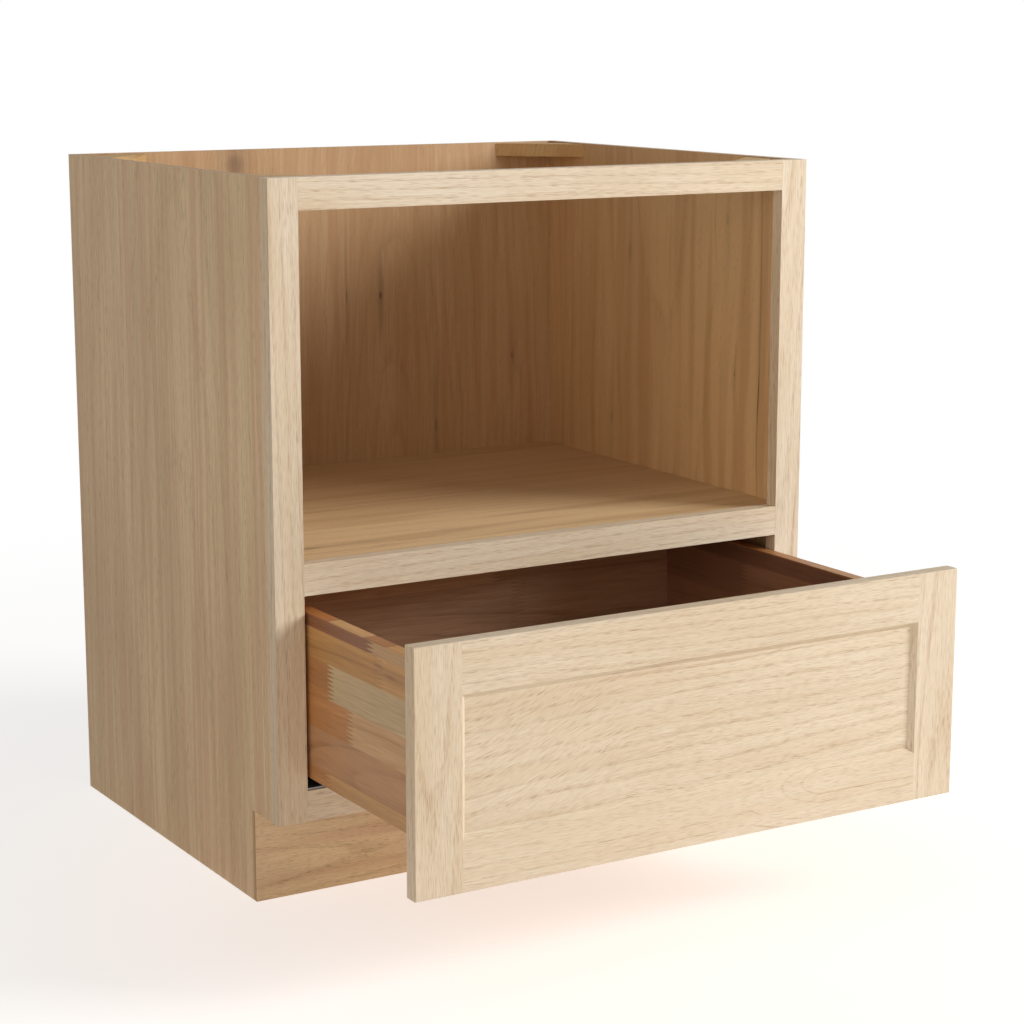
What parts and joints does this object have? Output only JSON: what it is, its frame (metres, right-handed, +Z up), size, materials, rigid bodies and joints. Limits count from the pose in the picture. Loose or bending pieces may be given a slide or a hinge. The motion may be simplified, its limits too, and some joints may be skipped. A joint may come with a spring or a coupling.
{
  "type": "microwave base cabinet",
  "caption": "Face-frame kitchen base cabinet with an open microwave bay above a dovetailed drawer on undermount runners, over a recessed toe kick.",
  "frame": {"origin": "on the floor, in the middle of the back panel's rear face, where the wall meets the floor", "axes": "+X to the cabinet's right as seen from the front, +Y into the wall, +Z up to the worktop"},
  "size_m": [0.762, 0.9306, 0.8763],
  "materials": {
    "oak": "sanded, unfinished",
    "plywood": "oak-faced plywood, unfinished",
    "brace_wood": "solid wood, sawn",
    "drawer_wood": "edge-glued solid wood, clear satin",
    "zinc_steel": "rolled sheet, zinc-plated",
    "screw_steel": "zinc-plated",
    "grey_plastic": "moulded",
    "lever_plastic": "moulded",
    "cage_plastic": "moulded",
    "roller_plastic": "moulded",
    "bumper_rubber": "soft, clear"
  },
  "bodies": {
    "cabinet": {"back_panel": "plywood", "cabinet_floor": "plywood", "corner_brace_front_left": "brace_wood", "corner_brace_front_right": "brace_wood", "corner_brace_rear_left": "brace_wood", "corner_brace_rear_right": "brace_wood", "frame_bottom_rail": "oak", "frame_mid_rail": "oak", "frame_stile_left": "oak", "frame_stile_right": "oak", "frame_top_rail": "oak", "microwave_shelf": "plywood", "runner_cabinet_member_left": "zinc_steel", "runner_cabinet_member_right": "zinc_steel", "runner_rear_socket_left": "grey_plastic", "runner_rear_socket_right": "grey_plastic", "side_panel_left": "plywood", "side_panel_right": "plywood", "soft_close_unit_left": "grey_plastic", "soft_close_unit_right": "grey_plastic", "toe_kick_board": "plywood", "toe_kick_skin": "plywood"},
    "drawer": {"drawer_bottom": "drawer_wood", "drawer_box_back": "drawer_wood", "drawer_box_front": "drawer_wood", "drawer_front_bottom_rail": "oak", "drawer_front_bumpers": "bumper_rubber", "drawer_front_panel": "oak", "drawer_front_screws": "screw_steel", "drawer_front_stile_left": "oak", "drawer_front_stile_right": "oak", "drawer_front_top_rail": "oak", "drawer_side_left": "drawer_wood", "drawer_side_right": "drawer_wood", "locking_clip_left": "grey_plastic", "locking_clip_right": "grey_plastic", "runner_drawer_member_left": "zinc_steel", "runner_drawer_member_right": "zinc_steel"},
    "runner_middle_left": {"runner_middle_member_left": "zinc_steel"},
    "runner_middle_right": {"runner_middle_member_right": "zinc_steel"},
    "lower_cage_left": {"lower_roller_cage_left": "cage_plastic", "lower_rollers_left": "roller_plastic"},
    "lower_cage_right": {"lower_roller_cage_right": "cage_plastic", "lower_rollers_right": "roller_plastic"},
    "upper_cage_left": {"upper_roller_cage_left": "cage_plastic", "upper_rollers_left": "roller_plastic"},
    "upper_cage_right": {"upper_roller_cage_right": "cage_plastic", "upper_rollers_right": "roller_plastic"},
    "release_lever_left": {"release_lever_left": "lever_plastic"},
    "release_lever_right": {"release_lever_right": "lever_plastic"}
  },
  "joints": [
    {"name": "drawer_slide", "type": "slide", "parent": "cabinet", "child": "drawer", "axis": [0, -1, 0], "range_m": [-0.3, 0.2334]},
    {"name": "runner_middle_left_slide", "type": "slide", "parent": "cabinet", "child": "runner_middle_left", "axis": [0, -1, 0], "range_m": [-0.15, 0.1167]},
    {"name": "lower_cage_left_slide", "type": "slide", "parent": "cabinet", "child": "lower_cage_left", "axis": [0, -1, 0], "range_m": [-0.075, 0.05835]},
    {"name": "upper_cage_left_slide", "type": "slide", "parent": "cabinet", "child": "upper_cage_left", "axis": [0, -1, 0], "range_m": [-0.225, 0.17505]},
    {"name": "runner_middle_right_slide", "type": "slide", "parent": "cabinet", "child": "runner_middle_right", "axis": [0, -1, 0], "range_m": [-0.15, 0.1167]},
    {"name": "lower_cage_right_slide", "type": "slide", "parent": "cabinet", "child": "lower_cage_right", "axis": [0, -1, 0], "range_m": [-0.075, 0.05835]},
    {"name": "upper_cage_right_slide", "type": "slide", "parent": "cabinet", "child": "upper_cage_right", "axis": [0, -1, 0], "range_m": [-0.225, 0.17505]},
    {"name": "release_lever_left_pivot", "type": "hinge", "parent": "drawer", "child": "release_lever_left", "pos_m": [-0.282, -0.8477, 0.1743], "axis": [0, 0, 1], "range_deg": [0, 12], "stiffness_Nm_per_rad": 0.05, "springref_deg": -5.73},
    {"name": "release_lever_right_pivot", "type": "hinge", "parent": "drawer", "child": "release_lever_right", "pos_m": [0.282, -0.8477, 0.1743], "axis": [0, 0, -1], "range_deg": [0, 12], "stiffness_Nm_per_rad": 0.05, "springref_deg": -5.73}
  ],
  "couplings": [
    {"joint": "runner_middle_left_slide", "follows": "drawer_slide", "ratio": 0.5},
    {"joint": "lower_cage_left_slide", "follows": "drawer_slide", "ratio": 0.25},
    {"joint": "upper_cage_left_slide", "follows": "drawer_slide", "ratio": 0.75},
    {"joint": "runner_middle_right_slide", "follows": "drawer_slide", "ratio": 0.5},
    {"joint": "lower_cage_right_slide", "follows": "drawer_slide", "ratio": 0.25},
    {"joint": "upper_cage_right_slide", "follows": "drawer_slide", "ratio": 0.75}
  ]
}
